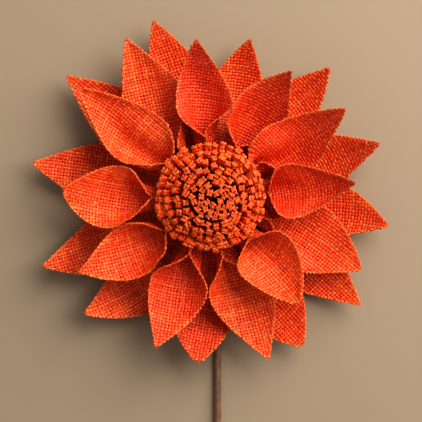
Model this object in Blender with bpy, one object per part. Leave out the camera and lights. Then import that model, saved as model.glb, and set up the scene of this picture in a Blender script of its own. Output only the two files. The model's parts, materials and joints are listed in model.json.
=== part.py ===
"""An artificial daisy of dyed burlap on a taped wire stem, lying face up.

Metres, +Z up. The head looks up, the stem is bent flat behind it and runs out
towards -Y. The surface that it lies on is z = 0.
"""

import math
import random

import bpy
import numpy as np
from mathutils import Vector
from mathutils.bvhtree import BVHTree

MM = 0.001
GAP = 0.3 * MM
CLOTH = 0.8 * MM

# Petals: one cutting template, curled along its length and glued by its root
PETAL_ROOT_R = 12.2 * MM
PETAL_HALF_WIDTH = 20.0 * MM
PETAL_ROOT_HALF_WIDTH = 5.6 * MM
PETAL_TIP_HALF_WIDTH = 0.8 * MM
PETAL_WIDEST = 0.43
PETAL_TAPER = 1.35
PETAL_BLUNT_TIP_HALF_WIDTH = 2.4 * MM
PETAL_BLUNT_TAPER = 2.3

# Degrees that each half of a petal wraps round its midrib, every tenth of its length
UPPER_CUPPED = (125, 150, 150, 112, 86, 69, 56, 46, 38, 32, 27)
UPPER_FLAT = (125, 144, 124, 78, 50, 36, 28, 23, 19, 16, 13)
LOWER_CUPPED = (120, 120, 98, 74, 56, 44, 36, 30, 25, 21, 18)
LOWER_FLAT = (120, 110, 76, 44, 30, 22, 18, 15, 13, 11, 9)

# Height of the four points that steer each tier's midrib, root to tip
UPPER_MIDRIB = (13.8 * MM, 8.8 * MM, 12.0 * MM, 30.0 * MM)
LOWER_MIDRIB = (8.9 * MM, -2.6 * MM, -3.6 * MM, 15.0 * MM)
UPPER_GRID = (12, 10)
LOWER_GRID = (10, 6)

# Bedding: how the petals press each other clear of one another
CLEARANCE = 1.4 * MM
BED_ROUNDS = 180
BED_REACH = 4.5 * MM
BED_STEP = 0.5 * MM
# How firmly a point is tied to those so many rows and columns on
BED_TIES = (
    (1, 0, 1), (0, 1, 1), (1, 1, 0.6), (1, -1, 0.6),
    (2, 0, 0.8), (0, 2, 0.8), (3, 0, 0.5), (0, 3, 0.5),
)

# name: root bearing, tip bearing, reach in mm, lift, tip lift, roll towards
# counter-clockwise, sideways bow in mm, how blunt the tip is (0 to 1), and the curl
# of the counter-clockwise and of the clockwise side
UPPER = {
    "petal_upper_01": (154, 140.5, 83.6, 0.6, -2.0, 4, -2.0, 0.0, 1.15, 1.00),
    "petal_upper_02": (130, 118.0, 88.3, -1.4, -8.0, 5, 1.5, 0.0, 0.50, 1.15),
    "petal_upper_03": (97, 95.1, 76.5, 0.6, 3.0, 4, 0.0, 0.0, 1.00, 0.70),
    "petal_upper_04": (70, 57.3, 72.8, 0.6, 3.0, 5, 0.8, 0.0, 0.60, 0.20),
    "petal_upper_05": (35, 32.8, 78.4, 0.6, 3.0, 5, 0.0, 0.0, 0.90, 0.20),
    "petal_upper_06": (6, 5.4, 70.3, 1.6, 4.0, 0, -1.0, 0.0, 1.05, 0.90),
    "petal_upper_07": (-25, -25.7, 82.0, -1.4, -8.0, 0, 3.5, 0.5, 0.15, 0.45),
    "petal_upper_08": (-54, -50.2, 66.8, 2.6, 0.0, 0, 3.0, 1.0, 1.20, 1.30),
    "petal_upper_09": (-84, -70.1, 84.6, -1.2, -5.0, 0, 0.0, 0.0, 0.50, 0.75),
    "petal_upper_10": (-113, -109.8, 78.2, 0.4, 0.0, 0, 1.0, 0.0, 0.70, 1.00),
    "petal_upper_11": (-145, -150.0, 73.6, 0.4, 1.0, 0, 4.5, 0.0, 1.00, 1.00),
    "petal_upper_12": (-176, -182.1, 71.6, 0.4, 2.0, 0, 2.6, 1.0, 1.00, 1.15),
}
LOWER = {
    "petal_lower_01": (169, 169.4, 89.4, 0.0, 0.0, 5, -1.0, 0.0, 0.60, 0.0),
    "petal_lower_02": (139, 140.0, 92.7, 0.0, 0.0, 5, 0.0, 0.0, 0.35, 0.0),
    "petal_lower_03": (109, 108.0, 91.5, 0.0, 0.0, 5, -2.0, 0.0, 0.70, 0.0),
    "petal_lower_04": (79, 76.0, 80.5, 0.0, 0.0, 5, 0.0, 0.0, 0.35, 0.0),
    "petal_lower_05": (49, 47.2, 87.0, 0.0, 0.0, 5, 0.0, 0.0, 0.35, 0.0),
    "petal_lower_06": (20, 17.6, 87.5, 0.0, 6.0, 5, 0.0, 0.0, 0.35, 0.0),
    "petal_lower_07": (-10, -8.9, 89.0, 0.0, 0.0, 5, 4.5, 0.2, 0.35, 0.50),
    "petal_lower_08": (-40, -35.5, 91.5, 0.0, 0.0, 5, 3.0, 0.0, 0.35, 0.0),
    "petal_lower_09": (-68, -58.3, 86.5, 0.0, 0.0, 5, 0.0, 0.8, 0.70, 0.0),
    "petal_lower_10": (-98, -94.3, 81.0, 5.0, 0.0, 0, 1.0, 1.0, 0.35, 0.80),
    "petal_lower_11": (-128, -136.8, 85.0, 0.0, 0.0, 3, 8.0, 0.2, 0.00, 0.60),
    "petal_lower_12": (-161, -157.2, 89.4, 0.0, 0.0, 5, 4.0, 0.0, 0.35, 0.0),
}

# Which neighbour lies over which, by the number of each petal
UPPER_OVER = (
    (1, 2), (3, 2), (4, 3), (5, 4), (6, 5), (6, 7), (8, 7), (8, 9), (10, 9), (11, 10),
    (12, 11), (1, 12),
)
LOWER_OVER = (
    (2, 1), (3, 2), (4, 3), (5, 4), (6, 5), (7, 6), (8, 7), (9, 8), (10, 9), (10, 11),
    (12, 11), (1, 12),
)
OVERLAPS = {(f"petal_upper_{a:02d}", f"petal_upper_{b:02d}") for a, b in UPPER_OVER}
OVERLAPS |= {(f"petal_lower_{a:02d}", f"petal_lower_{b:02d}") for a, b in LOWER_OVER}

# Centre: a strip of burlap cut into tabs along one edge and rolled round the wire
CORE_STALK_R = 11.6 * MM
CORE_CAP_R = 20.6 * MM
CORE_CAP_UNDER = 24.2 * MM
CORE_CAP_EDGE = 26.0 * MM
CORE_TOP = 31.5 * MM
TAB_WIDTH = 2.8 * MM
TAB_THICKNESS = 1.6 * MM
TAB_PITCH = 3.9 * MM
COIL_PITCH = 3.35 * MM
COIL_FIRST_R = 2.4 * MM
COIL_LAST_R = 21.0 * MM
COIL_EYE = Vector((3.4 * MM, -2.4 * MM, 0))
TAB_STAND = 6.3 * MM
TAB_LEAN = math.radians(68)
TAB_REACH = 28.5 * MM

# Back disc and stem
DISC_R = 17.0 * MM
DISC_THICKNESS = 1.5 * MM
DISC_UNDER = 6.6 * MM
STEM_X = 3.8 * MM
STEM_Y = -2.4 * MM
STEM_END_Y = -290.0 * MM
STEM_BEND_R = 4.4 * MM
TAPE_R = 1.85 * MM
WIRE_R = 1.1 * MM
WIRE_TOP = 24.0 * MM
WIRE_SHOWS = 2.5 * MM
STEM_SIDES = 16


def material(name, color, roughness, metallic=0.0):
    made = bpy.data.materials.new(name)
    made.use_nodes = True
    shader = made.node_tree.nodes["Principled BSDF"]
    shader.inputs["Base Color"].default_value = (*color, 1)
    shader.inputs["Roughness"].default_value = roughness
    shader.inputs["Metallic"].default_value = metallic
    return made


def mesh_object(name, points, faces, look):
    mesh = bpy.data.meshes.new(name)
    mesh.from_pydata([tuple(p) for p in points], [], faces)
    mesh.materials.append(look)
    made = bpy.data.objects.new(name, mesh)
    bpy.context.scene.collection.objects.link(made)
    return made


def at_bearing(degrees, radius):
    angle = math.radians(degrees)
    return Vector((radius * math.cos(angle), radius * math.sin(angle), 0))


def half_width(s, blunt):
    """Half of the petal's flat width, s of the way from its root to its tip."""
    if s < PETAL_WIDEST:
        grown = math.sin(0.5 * math.pi * s / PETAL_WIDEST) ** 1.1
        return PETAL_ROOT_HALF_WIDTH + grown * (PETAL_HALF_WIDTH - PETAL_ROOT_HALF_WIDTH)
    taper = PETAL_TAPER + blunt * (PETAL_BLUNT_TAPER - PETAL_TAPER)
    tip = PETAL_TIP_HALF_WIDTH + blunt * (PETAL_BLUNT_TIP_HALF_WIDTH - PETAL_TIP_HALF_WIDTH)
    fallen = ((s - PETAL_WIDEST) / (1 - PETAL_WIDEST)) ** taper
    return PETAL_HALF_WIDTH + fallen * (tip - PETAL_HALF_WIDTH)


class Petal:
    """A petal's surface, as a point for each s (root to tip) and t (-1 to 1)."""

    def __init__(self, heights, wraps, row):
        root, tip, reach, lift, tip_lift, roll, bow, blunt, ccw, cw = row
        start = at_bearing(root, PETAL_ROOT_R)
        end = at_bearing(tip, reach * MM)
        lifts = (0, lift, lift, lift + tip_lift)
        self.controls = []
        for share, height, raised in zip((0, 0.35, 0.7, 1), heights, lifts):
            point = start.lerp(end, share)
            point.z = height + raised * MM
            self.controls.append(point)
        sideways = Vector((start.y - end.y, end.x - start.x, 0)).normalized()
        self.controls[1] += sideways * (bow * MM)
        self.controls[2] += sideways * (bow * MM)
        self.blunt = blunt
        self.roll = math.radians(roll)
        self.curls = (ccw, cw)
        self.wraps = wraps

    def wrap(self, s, curl):
        """How far half of the petal wraps round the midrib, here in radians."""
        cupped, flat = (np.interp(s, np.linspace(0, 1, 11), wrap) for wrap in self.wraps)
        return math.radians(curl * cupped + (1 - curl) * flat)

    def midrib(self, s):
        a, b, c, d = self.controls
        u = 1 - s
        return u**3 * a + 3 * u * u * s * b + 3 * u * s * s * c + s**3 * d

    def point(self, s, t):
        along = (self.midrib(s + 0.01) - self.midrib(s - 0.01)).normalized()
        side = Vector((-along.y, along.x, 0)).normalized()
        up = along.cross(side)
        roll = self.roll * math.sin(math.pi * min(s * 1.1, 0.9))
        side, up = (
            side * math.cos(roll) + up * math.sin(roll),
            up * math.cos(roll) - side * math.sin(roll),
        )
        curl = self.curls[0] if t > 0 else self.curls[1]
        width = half_width(s, self.blunt)
        bend = self.wrap(s, curl) / width
        arc = t * width
        across = math.sin(bend * arc) / bend
        rise = (1 - math.cos(bend * arc)) / bend
        return self.midrib(s) + side * across + up * rise


def petal_net(petal, grid):
    """The petal's middle surface, as rows of points from its root to its tip."""
    rows, columns = grid
    return np.array([
        [petal.point(i / rows, 2 * j / columns - 1) for j in range(columns + 1)]
        for i in range(rows + 1)
    ])


def net_normals(net):
    along = np.gradient(net, axis=0)
    across = np.gradient(net, axis=1)
    normals = np.cross(along, across)
    return normals / np.linalg.norm(normals, axis=2, keepdims=True)


def net_triangles(rows, columns):
    """Pairs of triangles, slanted alike on the petal's two sides."""
    triangles = []
    for i in range(rows):
        for j in range(columns):
            a = i * (columns + 1) + j
            b = a + columns + 1
            if j >= columns // 2:
                triangles += [(a, b, b + 1), (a, b + 1, a + 1)]
            else:
                triangles += [(a, b, a + 1), (b, b + 1, a + 1)]
    return triangles


def lies_over(upper, lower):
    """Whether the first of two petals lies over the second."""
    if upper.startswith("petal_upper") and lower.startswith("petal_lower"):
        return True
    return (upper, lower) in OVERLAPS


class Bedding:
    """Presses the petals clear of each other, keeping each one's flat shape."""

    def __init__(self, nets):
        self.names = list(nets)
        self.shapes = {name: net.shape[:2] for name, net in nets.items()}
        self.starts = {}
        self.samples = {}
        ties = []
        mobile = []
        rims = []
        start = 0
        for name, (rows, columns) in self.shapes.items():
            self.starts[name] = start
            index = start + np.arange(rows * columns).reshape(rows, columns)
            for down, right, weight in BED_TIES:
                if right < 0:
                    pairs = (index[:-1, 1:], index[1:, :-1])
                else:
                    pairs = (
                        index[: rows - down, : columns - right],
                        index[down:, right:],
                    )
                for a, b in zip(pairs[0].ravel(), pairs[1].ravel()):
                    ties.append((a, b, weight))
            self.samples[name] = (
                np.concatenate([index.ravel(), index[:-1].ravel()]),
                np.concatenate([index.ravel(), index[1:].ravel()]),
            )
            rim = np.ones((rows, columns), bool)
            rim[1:-1, 1:-1] = False
            rims.append(rim.ravel())
            share = np.ones((rows, columns))
            share[0] = 0.3
            share[1] = 0.7
            mobile.append(share.ravel())
            start += rows * columns
        self.points = np.concatenate([net.reshape(-1, 3) for net in nets.values()])
        ties = np.array(ties)
        self.first = ties[:, 0].astype(int)
        self.second = ties[:, 1].astype(int)
        self.weight = ties[:, 2:3]
        self.mobile = np.concatenate(mobile)[:, None]
        self.rims = np.concatenate(rims)
        self.lengths = self.tie_vectors()[1]
        self.pairs = [
            (over, under)
            for over in self.names
            for under in self.names
            if over != under and lies_over(over, under)
        ]

    def tie_vectors(self):
        between = self.points[self.second] - self.points[self.first]
        return between, np.linalg.norm(between, axis=1, keepdims=True)

    def part(self, name):
        rows, columns = self.shapes[name]
        start = self.starts[name]
        return slice(start, start + rows * columns)

    def keep_shape(self, passes):
        for _ in range(passes):
            between, length = self.tie_vectors()
            pull = self.weight * 0.5 * between * (1 - self.lengths / length)
            moved = np.zeros_like(self.points)
            count = np.zeros((len(self.points), 1))
            np.add.at(moved, self.first, pull)
            np.add.at(moved, self.second, -pull)
            np.add.at(count, self.first, self.weight)
            np.add.at(count, self.second, self.weight)
            self.points += 1.3 * self.mobile * moved / count

    def press(self):
        trees = {}
        normals = np.zeros_like(self.points)
        triangles = {}
        for name, shape in self.shapes.items():
            net = self.points[self.part(name)]
            triangles[name] = net_triangles(shape[0] - 1, shape[1] - 1)
            trees[name] = BVHTree.FromPolygons(net.tolist(), triangles[name])
            facing = net_normals(net.reshape(*shape, 3))
            normals[self.part(name)] = facing.reshape(-1, 3)
        pushes = np.zeros_like(self.points)
        counts = np.full((len(self.points), 1), 1e-9)

        def push(index, by, weight):
            pushes[index] += by * weight
            counts[index] += weight

        worst = 0
        for over, under in self.pairs:
            for moving, fixed in ((under, over), (over, under)):
                firsts, seconds = self.samples[moving]
                places = 0.5 * (self.points[firsts] + self.points[seconds])
                other = self.points[self.part(fixed)]
                low = other.min(axis=0) - CLEARANCE
                high = other.max(axis=0) + CLEARANCE
                near = np.flatnonzero(((places > low) & (places < high)).all(axis=1))
                for k in near:
                    ends = (firsts[k], seconds[k])
                    spot, facing, number, gap = trees[fixed].find_nearest(places[k], BED_REACH)
                    if spot is None:
                        continue
                    away = places[k] - np.array(spot)
                    if moving == under:
                        facing = np.array(facing)
                        height = away @ facing
                    else:
                        facing = 0.5 * (normals[ends[0]] + normals[ends[1]])
                        height = -(away @ facing)
                    square = abs(height) > 0.75 * gap
                    loose = moving == under or (self.rims[ends[0]] and self.rims[ends[1]])
                    if square and height > -CLEARANCE:
                        depth = min(CLEARANCE + height, BED_STEP)
                        shift = -facing * depth if moving == under else facing * depth
                    elif not square and gap < CLEARANCE and loose:
                        shift = away / max(gap, 1e-6) * (CLEARANCE - gap)
                    else:
                        continue
                    worst = max(worst, np.linalg.norm(shift))
                    for end in ends:
                        push(end, 0.5 * shift, 0.5)
                    for corner in triangles[fixed][number]:
                        push(self.starts[fixed] + corner, -0.5 * shift, 0.34)
        self.points += self.mobile * pushes / np.maximum(counts, 1)
        return worst

    def keep_clear(self):
        """Holds the petals off the surface, the back disc, the stem and the centre."""
        half = 0.5 * CLOTH
        x, y, z = self.points.T
        radius = np.hypot(x, y)
        floor = np.full(len(z), half)
        floor[radius < DISC_R + 5.0 * MM] = DISC_UNDER + DISC_THICKNESS + GAP + half
        over_stem = (np.abs(x - STEM_X) < TAPE_R + 1.2 * MM) & (y < 0)
        stem_top = 2 * TAPE_R + GAP + half + 0.2 * MM
        floor[over_stem] = np.maximum(floor[over_stem], stem_top)
        ceiling = np.where(radius < TAB_REACH, CORE_CAP_UNDER - GAP - half - 0.2 * MM, 1)
        self.points[:, 2] = np.clip(z, floor, ceiling)
        closest = CORE_STALK_R + GAP + 0.15 * MM
        self.points[:, :2] *= np.maximum(closest / radius, 1)[:, None]

    def nets(self):
        for number in range(BED_ROUNDS):
            worst = self.press()
            self.keep_shape(4 if number < BED_ROUNDS - 30 else 1)
            self.keep_clear()
            if number % 10 == 9:
                print("bedding round", number + 1, "worst push", round(worst * 1000, 3), "mm")
        return {
            name: self.points[self.part(name)].reshape(*self.shapes[name], 3)
            for name in self.names
        }


def petal_solid(name, net, look):
    """The petal's surface given the cloth's thickness, split alike on both faces."""
    rows, columns = net.shape[0] - 1, net.shape[1] - 1
    offset = net_normals(net) * 0.5 * CLOTH
    points = list((net + offset).reshape(-1, 3)) + list((net - offset).reshape(-1, 3))
    half = (rows + 1) * (columns + 1)

    def spot(i, j):
        return i * (columns + 1) + j

    faces = []
    for three in net_triangles(rows, columns):
        faces.append(three)
        faces.append(tuple(half + k for k in reversed(three)))
    rim = [spot(i, 0) for i in range(rows)]
    rim += [spot(rows, j) for j in range(columns)]
    rim += [spot(i, columns) for i in range(rows, 0, -1)]
    rim += [spot(0, j) for j in range(columns, 0, -1)]
    for here, after in zip(rim, rim[1:] + rim[:1]):
        faces.append((after, here, half + here))
        faces.append((after, half + here, half + after))
    return mesh_object(name, points, faces, look)


def turned(name, profile, centre, sides, look):
    """A solid of revolution: rings of (radius, z), closed by a face at each end."""
    points = []
    for radius, z in profile:
        for k in range(sides):
            angle = 2 * math.pi * k / sides
            offset = Vector((radius * math.cos(angle), radius * math.sin(angle), z))
            points.append(centre + offset)
    faces = []
    for ring in range(len(profile) - 1):
        for k in range(sides):
            after = (k + 1) % sides
            here = ring * sides
            above = here + sides
            faces.append((here + k, here + after, above + after, above + k))
    last = (len(profile) - 1) * sides
    faces.append(tuple(range(sides - 1, -1, -1)))
    faces.append(tuple(last + k for k in range(sides)))
    return mesh_object(name, points, faces, look)


def subtract(body, cutter):
    cut = body.modifiers.new("Cut", "BOOLEAN")
    cut.operation = "DIFFERENCE"
    cut.solver = "EXACT"
    cut.object = cutter
    cutter.hide_render = True
    apply_modifiers(body)
    bpy.data.objects.remove(cutter, do_unlink=True)


def apply_modifiers(body):
    graph = bpy.context.evaluated_depsgraph_get()
    graph.update()
    baked = bpy.data.meshes.new_from_object(body.evaluated_get(graph))
    body.modifiers.clear()
    body.data = baked


def tab(name, foot, direction, broad, height, look):
    """One tab of the fringe: a narrow strip that stands out of the coil."""
    thin = direction.cross(broad).normalized()
    points = []
    for rise, grow in ((-2.0 * MM, 0.9), (height, 1.0)):
        for x, y in ((-1, -1), (1, -1), (1, 1), (-1, 1)):
            points.append(
                foot
                + direction * rise
                + broad * (0.5 * x * grow * TAB_WIDTH)
                + thin * (0.5 * y * grow * TAB_THICKNESS)
            )
    faces = [(3, 2, 1, 0), (4, 5, 6, 7)]
    faces += [(k, (k + 1) % 4, 4 + (k + 1) % 4, 4 + k) for k in range(4)]
    return mesh_object(name, points, faces, look)


def core_height(radius):
    """Height of the core's domed top at this radius."""
    share = min(radius / CORE_CAP_R, 1)
    return CORE_CAP_EDGE + (CORE_TOP - CORE_CAP_EDGE) * (1 - share**2.2)


def coil_places():
    """Feet of the tabs, along a coil whose eye is off the middle."""
    places = []
    radius = COIL_FIRST_R
    angle = 0.4
    last = math.inf
    while angle < last:
        share = radius / COIL_LAST_R
        centre = COIL_EYE * (1 - share)
        outward = Vector((math.cos(angle), math.sin(angle), 0))
        places.append((centre + outward * radius, angle, share))
        step = TAB_PITCH / max(radius, TAB_PITCH * 0.6)
        angle += step
        radius += COIL_PITCH * step / (2 * math.pi)
        if radius > COIL_LAST_R:
            radius = COIL_LAST_R
            last = min(last, angle + 2 * math.pi)
    return places


def center_fringe(look):
    draw = random.Random(7)
    profile = [
        (CORE_STALK_R, DISC_UNDER + DISC_THICKNESS + GAP),
        (CORE_STALK_R, CORE_CAP_UNDER),
        (CORE_CAP_R, CORE_CAP_UNDER),
    ]
    for share in (1.0, 0.9, 0.75, 0.55, 0.3, 0.08):
        radius = CORE_CAP_R * share
        profile.append((radius, core_height(radius)))
    core = turned("center_fringe", profile, Vector((0, 0, 0)), 40, look)
    repeats = bpy.data.collections.new("tabs")
    for number, (place, angle, share) in enumerate(coil_places()):
        outward = Vector((math.cos(angle), math.sin(angle), 0))
        along = Vector((-math.sin(angle), math.cos(angle), 0))
        lean = TAB_LEAN * share**2.0 + math.radians(draw.uniform(-9, 9))
        direction = outward * math.sin(lean) + Vector((0, 0, math.cos(lean)))
        twist = math.radians(draw.uniform(-22, 22))
        inward = outward * math.cos(lean) - Vector((0, 0, math.sin(lean)))
        broad = along * math.cos(twist) + inward * math.sin(twist)
        foot = place.copy()
        foot.z = core_height(foot.length) - 0.4 * MM
        height = TAB_STAND * draw.uniform(0.9, 1.12)
        one = tab(f"tab_{number:03d}", foot, direction, broad, height, look)
        bpy.context.scene.collection.objects.unlink(one)
        repeats.objects.link(one)
    join = core.modifiers.new("Join", "BOOLEAN")
    join.operation = "UNION"
    join.solver = "EXACT"
    join.operand_type = "COLLECTION"
    join.collection = repeats
    apply_modifiers(core)
    for one in list(repeats.objects):
        bpy.data.objects.remove(one, do_unlink=True)
    bpy.data.collections.remove(repeats)
    bore = turned(
        "bore",
        [(WIRE_R + GAP, 0), (WIRE_R + GAP, WIRE_TOP + GAP)],
        Vector((STEM_X, STEM_Y, 0)),
        STEM_SIDES,
        look,
    )
    subtract(core, bore)
    return core


def stem_route(top, end_y):
    """Points down the stem: from the head, round the bend, out along the surface."""
    level = TAPE_R
    corner = Vector((STEM_X, STEM_Y - STEM_BEND_R, level + STEM_BEND_R))
    points = [Vector((STEM_X, STEM_Y, top))]
    for k in range(9):
        angle = math.pi / 2 * k / 8
        offset = Vector((0, math.cos(angle), -math.sin(angle))) * STEM_BEND_R
        points.append(corner + offset)
    points.append(Vector((STEM_X, end_y, level)))
    return points


def tube(name, route, outer, inner, look):
    """A round bar along a route in the plane x = STEM_X, bored through if inner."""
    rings = []
    for number, centre in enumerate(route):
        before = route[max(number - 1, 0)]
        after = route[min(number + 1, len(route) - 1)]
        along = (after - before).normalized()
        side = Vector((1, 0, 0))
        up = along.cross(side)
        for radius in (outer, inner):
            if radius:
                rings.append([
                    centre
                    + side * (radius * math.cos(2 * math.pi * k / STEM_SIDES))
                    + up * (radius * math.sin(2 * math.pi * k / STEM_SIDES))
                    for k in range(STEM_SIDES)
                ])
    walls = 2 if inner else 1
    points = [point for ring in rings for point in ring]
    faces = []
    for number in range(len(route) - 1):
        for wall in range(walls):
            here = (number * walls + wall) * STEM_SIDES
            there = here + walls * STEM_SIDES
            for k in range(STEM_SIDES):
                after = (k + 1) % STEM_SIDES
                face = (here + k, here + after, there + after, there + k)
                faces.append(face[::-1] if wall else face)
    last = (len(route) - 1) * walls * STEM_SIDES
    for k in range(STEM_SIDES):
        after = (k + 1) % STEM_SIDES
        if inner:
            faces.append((after, k, STEM_SIDES + k, STEM_SIDES + after))
            faces.append((last + k, last + after, last + STEM_SIDES + after, last + STEM_SIDES + k))
    if not inner:
        faces.append(tuple(reversed(range(STEM_SIDES))))
        faces.append(tuple(last + k for k in range(STEM_SIDES)))
    return mesh_object(name, points, faces, look)


def main():
    for thing in list(bpy.data.objects):
        bpy.data.objects.remove(thing, do_unlink=True)

    burlap = (0.60, 0.047, 0.010)
    nets = {}
    for rows, heights, wraps, grid in (
        (UPPER, UPPER_MIDRIB, (UPPER_CUPPED, UPPER_FLAT), UPPER_GRID),
        (LOWER, LOWER_MIDRIB, (LOWER_CUPPED, LOWER_FLAT), LOWER_GRID),
    ):
        for name, row in rows.items():
            nets[name] = petal_net(Petal(heights, wraps, row), grid)
    made = [
        petal_solid(name, net, material(name, burlap, 0.9))
        for name, net in Bedding(nets).nets().items()
    ]

    made.append(center_fringe(material("center_fringe", (0.50, 0.043, 0.010), 0.9)))

    disc_look = material("back_disc", (0.45, 0.04, 0.010), 0.95)
    disc = turned(
        "back_disc",
        [(DISC_R, DISC_UNDER), (DISC_R, DISC_UNDER + DISC_THICKNESS)],
        Vector((0, 0, 0)),
        48,
        disc_look,
    )
    hole = turned(
        "hole",
        [(WIRE_R + GAP, 0), (WIRE_R + GAP, 20 * MM)],
        Vector((STEM_X, STEM_Y, 0)),
        STEM_SIDES,
        disc_look,
    )
    subtract(disc, hole)
    made.append(disc)

    tape_look = material("stem_tape", (0.16, 0.083, 0.05), 0.6)
    wire_look = material("stem_wire", (0.35, 0.35, 0.36), 0.4, 1.0)
    tape_route = stem_route(DISC_UNDER - GAP, STEM_END_Y + WIRE_SHOWS)
    wire_route = stem_route(WIRE_TOP, STEM_END_Y)
    made.append(tube("stem_tape", tape_route, TAPE_R, WIRE_R + GAP, tape_look))
    made.append(tube("stem_wire", wire_route, WIRE_R, 0, wire_look))

    flower = bpy.data.objects.new("flower", None)
    bpy.context.scene.collection.objects.link(flower)
    corners = [vertex.co for one in made for vertex in one.data.vertices]
    low = [min(corner[axis] for corner in corners) for axis in range(3)]
    high = [max(corner[axis] for corner in corners) for axis in range(3)]
    flower.location = (-(low[0] + high[0]) / 2, -(low[1] + high[1]) / 2, -low[2])
    for one in made:
        one.parent = flower


main()
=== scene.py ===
import json
import math
from functools import partialmethod

import bpy
import numpy as np
from mathutils import Matrix, Vector
from mathutils.bvhtree import BVHTree

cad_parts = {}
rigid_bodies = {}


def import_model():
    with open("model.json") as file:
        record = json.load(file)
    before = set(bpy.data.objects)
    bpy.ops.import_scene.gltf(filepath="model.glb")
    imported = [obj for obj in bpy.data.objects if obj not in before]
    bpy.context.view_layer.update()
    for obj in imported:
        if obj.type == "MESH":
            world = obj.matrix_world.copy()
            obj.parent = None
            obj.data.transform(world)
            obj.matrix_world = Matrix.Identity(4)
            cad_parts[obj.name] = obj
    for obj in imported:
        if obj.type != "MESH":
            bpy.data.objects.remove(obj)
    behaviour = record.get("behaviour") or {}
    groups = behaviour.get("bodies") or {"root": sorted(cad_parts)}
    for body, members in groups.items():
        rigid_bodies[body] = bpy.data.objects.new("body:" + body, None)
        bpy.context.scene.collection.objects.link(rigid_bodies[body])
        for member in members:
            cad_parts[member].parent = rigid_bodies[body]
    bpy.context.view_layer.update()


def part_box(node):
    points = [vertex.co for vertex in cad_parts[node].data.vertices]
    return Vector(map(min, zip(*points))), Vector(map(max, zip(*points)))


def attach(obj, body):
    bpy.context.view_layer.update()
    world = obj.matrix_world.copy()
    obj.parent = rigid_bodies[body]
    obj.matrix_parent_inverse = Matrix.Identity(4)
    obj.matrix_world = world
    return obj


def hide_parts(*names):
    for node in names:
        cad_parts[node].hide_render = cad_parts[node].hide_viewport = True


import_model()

mm = 0.001

# The flower's own axes: its head stands over the middle of the back disc
discLow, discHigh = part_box("back_disc")
tapeLow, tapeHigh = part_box("stem_tape")
discRadius = (discHigh.x - discLow.x) / 2
tapeRadius = (tapeHigh.x - tapeLow.x) / 2
hub = Vector(((discLow.x + discHigh.x) / 2, (discLow.y + discHigh.y) / 2, tapeLow.z))
discTop = discHigh.z - hub.z
stemOffset = (tapeLow.x + tapeHigh.x) / 2 - hub.x


def say(stage):
    print("flower:", stage)


# Fills a node's sockets: a plain value is set, another node's output is linked
def fill(tree, node, values):
    for socket, value in values.items():
        if isinstance(value, bpy.types.NodeSocket):
            tree.links.new(value, node.inputs[socket])
        else:
            node.inputs[socket].default_value = value


# Some attributes hold a vector, the others a number
def attributeKind(name):
    vectors = ("flat", "sheetNormal", "flatPlace", "outward", "clothNormal", "ringPlace")
    return "FLOAT_VECTOR" if name in vectors else "FLOAT"


# Adds nodes to one tree; each call gives the new node's output, or all of them for None
class NodeMaker:
    def __init__(self, tree):
        self.tree = tree

    def __call__(self, kind, values=None, output=0, **settings):
        node = self.tree.nodes.new(kind)
        for name, value in settings.items():
            setattr(node, name, value)
        fill(self.tree, node, values or {})
        return node.outputs if output is None else node.outputs[output]

    def math(self, operation, a, b=0.0, c=0.0):
        return self("ShaderNodeMath", {0: a, 1: b, 2: c}, operation=operation)

    plus = partialmethod(math, "ADD")
    minus = partialmethod(math, "SUBTRACT")
    times = partialmethod(math, "MULTIPLY")
    divide = partialmethod(math, "DIVIDE")
    timesPlus = partialmethod(math, "MULTIPLY_ADD")

    def vector(self, operation, a, b=None):
        values = {0: a} if b is None else {0: a, 1: b}
        output = "Value" if operation == "LENGTH" else "Vector"
        return self("ShaderNodeVectorMath", values, output, operation=operation)

    def scale(self, value, by):
        return self("ShaderNodeVectorMath", {0: value, "Scale": by}, operation="SCALE")

    def combine(self, x, y, z=0.0):
        return self("ShaderNodeCombineXYZ", {0: x, 1: y, 2: z})

    def split(self, value):
        return self("ShaderNodeSeparateXYZ", {0: value}, None)

    def store(self, geometry, name, value, where=True):
        return self("GeometryNodeStoreNamedAttribute", {
            "Geometry": geometry, "Selection": where, "Name": name, "Value": value,
        }, data_type=attributeKind(name), domain="POINT")

    def read(self, name):
        kind = attributeKind(name)
        return self("GeometryNodeInputNamedAttribute", {"Name": name}, data_type=kind)

    def move(self, geometry, **values):
        return self("GeometryNodeSetPosition", {"Geometry": geometry, **values})

    def remove(self, geometry, selection, **settings):
        values = {"Geometry": geometry, "Selection": selection}
        return self("GeometryNodeDeleteGeometry", values, **settings)

    def chance(self, low, high, seed, **more):
        values = {2: low, 3: high, "Seed": seed, **more}
        return self("FunctionNodeRandomValue", values, 1, data_type="FLOAT")

    def noise(self, place, scale, detail, roughness=0.5):
        return self("ShaderNodeTexNoise", {
            "Vector": place, "Scale": scale, "Detail": detail, "Roughness": roughness,
        }, "Fac")

    # Object coordinates, stretched where a scale is given
    def spot(self, scale=None):
        place = self("ShaderNodeTexCoord", output="Object")
        return self("ShaderNodeMapping", {"Vector": place, "Scale": scale}) if scale else place

    # A colour ramp of two or more stops, each a position and a colour
    def ramp(self, value, *stops):
        colour = self("ShaderNodeValToRGB", {0: value})
        elements = colour.node.color_ramp.elements
        while len(elements) < len(stops):
            elements.new(0.5)
        for element, (position, tint) in zip(elements, stops):
            element.position = position
            element.color = (*tint, 1)
        return colour

    def bump(self, height, strength, distance):
        values = {"Height": height, "Strength": strength, "Distance": distance}
        return self("ShaderNodeBump", values)

    def shade(self, values):
        fill(self.tree, self.tree.nodes["Principled BSDF"], values)


# A ramp's stops: at each position the tint made so many times as bright
def shades(tint, *stops):
    return [(position, [share * part for part in tint]) for position, share in stops]


def newMaterial(name):
    look = bpy.data.materials.new(name)
    look.use_nodes = True
    return look, NodeMaker(look.node_tree)


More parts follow.
